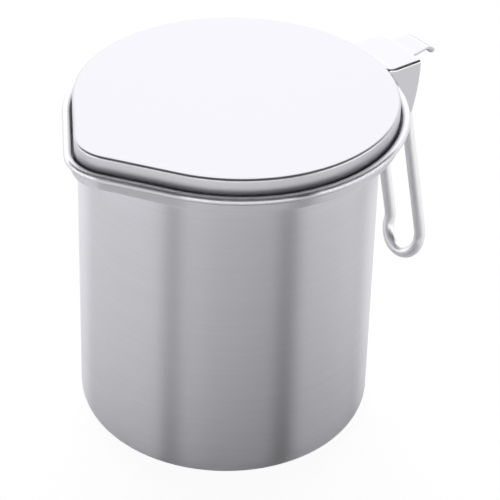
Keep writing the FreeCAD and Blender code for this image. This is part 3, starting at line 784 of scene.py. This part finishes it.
# ---- handle -----------------------------------------------------------------------
@dataclass
class Handle:
    """Handle of bent round rod, its ends welded to the wall."""

    rod_radius: float = 2.15 * MM
    leg_half: float = 8.6 * MM
    level_z: float = 109.0 * MM
    corner_x: float = 72.61 * MM
    top_bend: float = 6.0 * MM
    upper_lean: float = 11.6
    lower_lean: float = 14.6
    upper_length: float = 68.75 * MM
    knee_bend: float = 9.4 * MM
    knee_run: float = 0.3 * MM
    sides: int = 32
    bead_reach: float = 1.3 * MM
    bead_sunk: float = 0.1 * MM
    ripples: tuple = ((0.10, 11, 0.0), (0.06, 5, 1.0))

    def spine(self) -> tuple[np.ndarray, np.ndarray, np.ndarray]:
        """Middle line of the rod, its headings and a vector square to each.

        One leg is a path in its own plane, out and down. The bottom bend is half a circle
        between the two legs, in the plane of their lower ends, and the other leg is the
        mirror image.
        """
        top_turn, knee_turn = 90 - self.upper_lean, self.upper_lean + self.lower_lean
        top_tangent = self.top_bend * math.tan(math.radians(top_turn / 2))
        knee_tangent = self.knee_bend * math.tan(math.radians(knee_turn / 2))
        start = WALL_RADIUS - self.rod_radius / 4
        out, angle = path((start, self.level_z), 0, [
            (self.corner_x - top_tangent - start, 0, 6), (self.top_bend, -top_turn, 16),
            (self.upper_length - top_tangent - knee_tangent, 0, 8),
            (self.knee_bend, -knee_turn, 12), (self.knee_run, 0, 1)])
        none = np.zeros(len(out))
        leg = np.column_stack([out[:, 0], none - self.leg_half, out[:, 1]])
        ahead = np.column_stack([np.cos(angle), none, np.sin(angle)])
        square = np.column_stack([-np.sin(angle), none, np.cos(angle)])
        turned = np.linspace(0, math.pi, 41)[1:-1, None]
        side, down = np.array([0.0, 1.0, 0.0]), ahead[-1]
        middle = leg[-1] + self.leg_half * side
        bend = middle - self.leg_half * np.cos(turned) * side + self.leg_half * np.sin(turned) * down
        bend_ahead = np.sin(turned) * side + np.cos(turned) * down
        bend_square = np.broadcast_to(square[-1], bend.shape)
        return (np.vstack([leg, bend, leg[::-1] * np.array([1, -1, 1])]),
                np.vstack([ahead, bend_ahead, -ahead[::-1]]),
                np.vstack([square, bend_square, square[::-1]]))

    def rod_rings(self) -> np.ndarray:
        """Circles square to the spine: cosine times one square vector, sine times the other."""
        places, ahead, first = self.spine()
        second = np.cross(ahead, first)
        turn = np.linspace(0, 2 * math.pi, self.sides, endpoint=False)[None, :, None]
        circle = np.cos(turn) * first[:, None, :] + np.sin(turn) * second[:, None, :]
        return places[:, None, :] + self.rod_radius * circle

    def bead_rings(self, side: float) -> np.ndarray:
        """Weld bead about a rod's end: a hollow fillet from the wall to the rod.

        The outset falls with the square of the share along the rod, and a small ripple
        goes round it.
        """
        turn = np.linspace(0, 2 * math.pi, 48, endpoint=False)
        share = np.linspace(0, 1, 9)[:, None]
        ripple = 1 + sum(height * np.sin(waves * turn + phase) for height, waves, phase in self.ripples)
        outset = self.rod_radius + self.bead_reach * (1 - share) ** 2 * ripple
        y = side * self.leg_half + outset * np.cos(turn)
        z = self.level_z + outset * np.sin(turn)
        wall_x = np.sqrt(WALL_RADIUS ** 2 - y ** 2)
        return np.stack([wall_x - self.bead_sunk + share * self.bead_reach, y, z], axis=-1)

    def build(self) -> None:
        """Make the rod and the two weld beads and dress them."""
        finish = Steel("drawn_rod_steel", colour=(0.93, 0.92, 0.94), tint_spread=0.02,
                       roughness=0.42, grain_depth=0.0008 * MM)
        dress(ring_stack("handle_rod_bent", self.rod_rings()), finish.material(), "pot", "rod_steel",
              "handle_rod")
        bead = Steel("weld_bead_steel", colour=(0.56, 0.55, 0.55), roughness=0.36).material()
        for name, side in (("rod_weld_left", 1.0), ("rod_weld_right", -1.0)):
            dress(ring_stack(name, self.bead_rings(side)), bead, "pot", "rod_steel")


# ---- hinge -------------------------------------------------------------------------
@dataclass
class Hinge:
    """Bracket and barrel, which stay as they are, and the pin that turns in the barrel."""

    pin_radius: float = 1.5 * MM
    pin_half: float = 11.1 * MM
    pin_chamfer: float = 0.25 * MM

    def pin_rings(self) -> np.ndarray:
        """Circles along the pin, smaller at its chamfered ends."""
        low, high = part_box("hinge_pin")
        ends = self.pin_half - np.array([0, self.pin_chamfer])
        along = np.concatenate([-ends, np.linspace(-ends[1], ends[1], 5)[1:-1], ends[::-1]])
        radius = np.full(len(along), self.pin_radius)
        radius[[0, -1]] -= self.pin_chamfer
        turn = np.linspace(0, 2 * math.pi, 40, endpoint=False)
        return np.stack([(low.x + high.x) / 2 + radius[:, None] * np.sin(turn),
                         np.broadcast_to(along[:, None], (len(along), len(turn))),
                         (low.z + high.z) / 2 + radius[:, None] * np.cos(turn)], axis=-1)

    def build(self) -> None:
        """Make the pin and dress the bracket and the barrel."""
        plain = Steel("plain_hinge_steel", colour=(0.66, 0.655, 0.67), roughness=0.32).material()
        for node in ("hinge_bracket", "hinge_barrel"):
            redress(node, plain)
        pin = ring_stack("hinge_pin_turned", self.pin_rings())
        dress(pin, Steel("turned_pin_steel", roughness=0.18).material(), "lid", "hinge_steel",
              "hinge_pin")


# ---- strainer ------------------------------------------------------------------------
@dataclass
class Strainer:
    """Lift-out strainer: pressed basket, woven disc, clamp ring and lifting strap."""

    pitch: float = 1.25 * MM
    wire_radius: float = 0.12 * MM
    sway: float = 0.125 * MM
    sides: int = 4
    steps_per_pitch: int = 4

    def wire_rings(self, offset: float, reach: float, crossing: bool) -> tuple[np.ndarray, np.ndarray]:
        """One wire of the weave: a line whose height sways as a sine, a half wave per pitch.

        Args:
            offset: Distance of the wire from the middle.
            reach: Half its length.
            crossing: Whether it runs along Y instead of X.

        Returns:
            Points of shape (count, 3) and the quads that join them.
        """
        sides, steps = self.sides, int(self.steps_per_pitch * reach / self.pitch)
        along = np.linspace(-reach, reach, steps)
        phase = math.pi * round(offset / self.pitch) + (math.pi if crossing else 0)
        height = self.sway * np.cos(math.pi * along / self.pitch + phase)
        turn = np.linspace(0, 2 * math.pi, sides, endpoint=False)
        side = offset + self.wire_radius * np.cos(turn)
        points = np.empty((steps, sides, 3))
        points[..., 0] = along[:, None]
        points[..., 1] = side[None, :]
        points[..., 2] = height[:, None] + self.wire_radius * np.sin(turn)[None, :]
        if crossing:
            points = points[..., [1, 0, 2]]
        this = np.arange(steps - 1)[:, None] * sides
        point = np.arange(sides)
        following = np.roll(point, -1)
        order = (this + point, this + sides + point, this + sides + following, this + following)
        quads = np.stack(order[::-1] if crossing else order, axis=-1)
        return points.reshape(-1, 3), quads.reshape(-1, 4)

    def weave(self) -> bpy.types.Object:
        """Both sets of wires, cut to the disc, as one mesh."""
        low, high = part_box("strainer_mesh")
        radius, middle = high.x, (low.z + high.z) / 2
        count = int(radius / self.pitch)
        points, quads, used = [], [], 0
        for crossing in (False, True):
            for index in range(-count, count + 1):
                offset = index * self.pitch
                reach = math.sqrt(radius ** 2 - offset ** 2)
                if reach < 2 * self.pitch:
                    continue
                wire, faces = self.wire_rings(offset, reach, crossing)
                points.append(wire)
                quads.append(faces + used)
                used += len(wire)
        placed = np.vstack(points) + np.array([0, 0, middle])
        return surface("strainer_weave", placed, np.vstack(quads).tolist())

    def build(self) -> None:
        """Make the woven disc and dress the pressed parts that stay."""
        wire = Steel("woven_wire_steel", colour=(0.60, 0.60, 0.60), roughness=0.28).material()
        dress(self.weave(), wire, "pot", "mesh_steel", "strainer_mesh")
        pressed = Steel("pressed_strainer_steel", roughness=0.26, grain=Grain.ROUND).material()
        for node in ("strainer_basket", "strainer_clamp_ring"):
            redress(node, pressed)
        redress("strainer_loop", Steel("strap_steel", roughness=0.24).material())


# ---- studio --------------------------------------------------------------------------
@dataclass(frozen=True)
class Viewpoint:
    """The camera's place, and where it holds the aim point in a square frame."""

    frame_pixels: float = 500.0
    focal_pixels: float = 2255.8
    aim_pixel: tuple[float, float] = (226.39, 264.08)
    aim_height: float = 57.27 * MM
    distance: float = 809.5 * MM
    elevation: float = 33.9
    side_turn: float = 37.86
    roll: float = 1.27
    sensor: float = 36.0

    def axes(self) -> np.ndarray:
        """Rows of the camera's right, down and forward directions in the model's frame.

        A camera that looks straight at the aim point is panned and tilted until the aim
        point lies on its pixel, rolled, and the whole is turned about the vertical.
        """
        rise, turn, roll = (math.radians(a) for a in (self.elevation, self.side_turn, self.roll))
        pan = math.atan((self.aim_pixel[0] - self.frame_pixels / 2) / self.focal_pixels)
        tilt = math.atan((self.aim_pixel[1] - self.frame_pixels / 2) / self.focal_pixels)
        straight = np.array([[1, 0, 0], [0, -math.sin(rise), -math.cos(rise)],
                             [0, math.cos(rise), -math.sin(rise)]])
        panned = np.array([[math.cos(pan), 0, math.sin(pan)], [0, 1, 0],
                           [-math.sin(pan), 0, math.cos(pan)]])
        tilted = np.array([[1, 0, 0], [0, math.cos(tilt), math.sin(tilt)],
                           [0, -math.sin(tilt), math.cos(tilt)]])
        rolled = np.array([[math.cos(roll), -math.sin(roll), 0],
                           [math.sin(roll), math.cos(roll), 0], [0, 0, 1]])
        about_z = np.array([[math.cos(turn), -math.sin(turn), 0],
                            [math.sin(turn), math.cos(turn), 0], [0, 0, 1]])
        return rolled @ tilted @ panned @ straight @ about_z

    def eye(self) -> np.ndarray:
        """The camera's place."""
        rise, turn = math.radians(self.elevation), math.radians(self.side_turn)
        level = self.distance * math.cos(rise)
        return np.array([-level * math.sin(turn), -level * math.cos(turn),
                         self.aim_height + self.distance * math.sin(rise)])

    def build(self) -> None:
        """Make the camera and use it."""
        data = bpy.data.cameras.new("camera")
        data.sensor_width = self.sensor
        data.sensor_fit = "HORIZONTAL"
        data.lens = self.sensor * self.focal_pixels / self.frame_pixels
        data.clip_start, data.clip_end = 0.01, 20.0
        camera = bpy.data.objects.new("camera", data)
        right, down, forward = self.axes()
        camera.matrix_world = Matrix([[right[i], -down[i], -forward[i], self.eye()[i]]
                                      for i in range(3)] + [[0, 0, 0, 1]])
        bpy.context.scene.collection.objects.link(camera)
        bpy.context.scene.camera = camera


@dataclass(frozen=True)
class Studio:
    """Pale floor and the soft light round it.

    The light is a dome of broad panels, each a direction in degrees from the camera's side,
    negative to its left, and a brightness. The panels reach up to a height that is near_top
    on the camera's side and far_top behind the object, as the sine of the elevation.
    """

    floor_size: float = 6.0
    floor_grey: float = 0.80
    floor_glow: float = 1.22
    glow_for_camera: float = 0.75
    glow_for_gloss: float = 0.7
    shadow_reach: float = 80 * MM
    glow_reach: float = 290 * MM
    side_stretch: float = 2.8
    brightest: float = 3.36
    panels: tuple = ((-180, 1.616), (-160, 1.56), (-140, 1.36), (-115, 1.92), (-95, 2.8),
                     (-47, 3.2), (-41, 0.72), (-35, 0.56), (-29, 2.8), (0, 2.32), (34, 2.0),
                     (40, 0.08), (48, 0.08), (54, 2.88), (95, 2.4), (115, 1.28), (140, 1.2),
                     (160, 1.56), (180, 1.616))
    sky_for_camera: float = 1.0
    dark_top: float = 0.064
    near_top: float = 0.24
    far_top: float = 0.94
    far_from: float = 115
    far_all: float = 148
    top_blur: float = 0.08

    def floor(self) -> None:
        """Flat floor that is white to the camera and keeps a soft shadow.

        In the steel it glows too, from where the object's shadow ends, and sooner along X.
        """
        half = self.floor_size / 2
        mesh = bpy.data.meshes.new("studio_floor")
        mesh.from_pydata([(-half, -half, 0), (half, -half, 0), (half, half, 0), (-half, half, 0)],
                         [], [(0, 1, 2, 3)])
        floor = bpy.data.objects.new("studio_floor", mesh)
        bpy.context.scene.collection.objects.link(floor)
        material = bpy.data.materials.new("pale_floor")
        material.use_nodes = True
        graph = Graph(material.node_tree)
        path = graph.node("ShaderNodeLightPath")
        seen = Value(graph, path.outputs["Is Camera Ray"]) * self.glow_for_camera
        mirrored = Value(graph, path.outputs["Is Glossy Ray"])
        through = Value(graph, path.outputs["Is Transmission Ray"])
        x, y, _ = graph.place()
        stretched = (x * x * self.side_stretch + y * y).math("SQRT")
        away = stretched.above(self.shadow_reach, self.glow_reach)
        share = seen + (mirrored + through) * away * self.glow_for_gloss
        grey = (self.floor_grey, self.floor_grey, self.floor_grey, 1)
        matt = graph.node("ShaderNodeBsdfDiffuse", {}, {"Color": grey})
        glow = graph.node("ShaderNodeEmission", {}, {"Strength": self.floor_glow})
        mix = graph.node("ShaderNodeMixShader", {},
                         {0: share, 1: matt.outputs[0], 2: glow.outputs[0]})
        graph.node("ShaderNodeOutputMaterial", {}, {"Surface": mix.outputs[0]})
        mesh.materials.append(material)

    def dome(self, side_turn: float) -> None:
        """Light the scene from all round.

        Args:
            side_turn: Degrees by which the camera's side is turned from -Y towards -X.
        """
        world = bpy.data.worlds.new("studio_dome")
        bpy.context.scene.world = world
        world.use_nodes = True
        graph = Graph(world.node_tree)
        x, y, z = graph.split(graph.node("ShaderNodeTexCoord").outputs["Generated"])
        turn = math.radians(side_turn)
        ahead = x * -math.sin(turn) + y * -math.cos(turn)
        aside = x * math.cos(turn) + y * -math.sin(turn)
        swing = aside.math("ARCTAN2", ahead) * (180 / math.pi)
        stops = [(0.5 + angle / 360, strength / self.brightest) for angle, strength in self.panels]
        wall = graph.value("ShaderNodeValToRGB", {"stops": stops},
                           {"Fac": swing / 360 + 0.5}) * self.brightest
        far = swing.math("ABSOLUTE").above(self.far_from, self.far_all)
        top = self.near_top + far * (self.far_top - self.near_top)
        over = (z - top).above(-self.top_blur, self.top_blur)
        level = wall * (1 - over) + over * self.dark_top
        path = graph.node("ShaderNodeLightPath")
        seen = Value(graph, path.outputs["Is Camera Ray"])
        strength = level * (1 - seen) + seen * self.sky_for_camera
        background = graph.node("ShaderNodeBackground", {},
                                {"Color": (1, 1, 1, 1), "Strength": strength})
        graph.node("ShaderNodeOutputWorld", {}, {"Surface": background.outputs[0]})


def main() -> None:
    """Build the pieces in order, then the studio and the camera."""
    logging.basicConfig(level=logging.INFO, format="%(message)s")
    for part in (Pot(), Lid(), Lever(), Handle(), Hinge(), Strainer()):
        LOG.info("building %s", type(part).__name__)
        part.build()
    studio, viewpoint = Studio(), Viewpoint()
    studio.floor()
    studio.dome(viewpoint.side_turn)
    viewpoint.build()
    bpy.context.scene.view_settings.view_transform = "Standard"


if __name__ == "__main__":
    main()
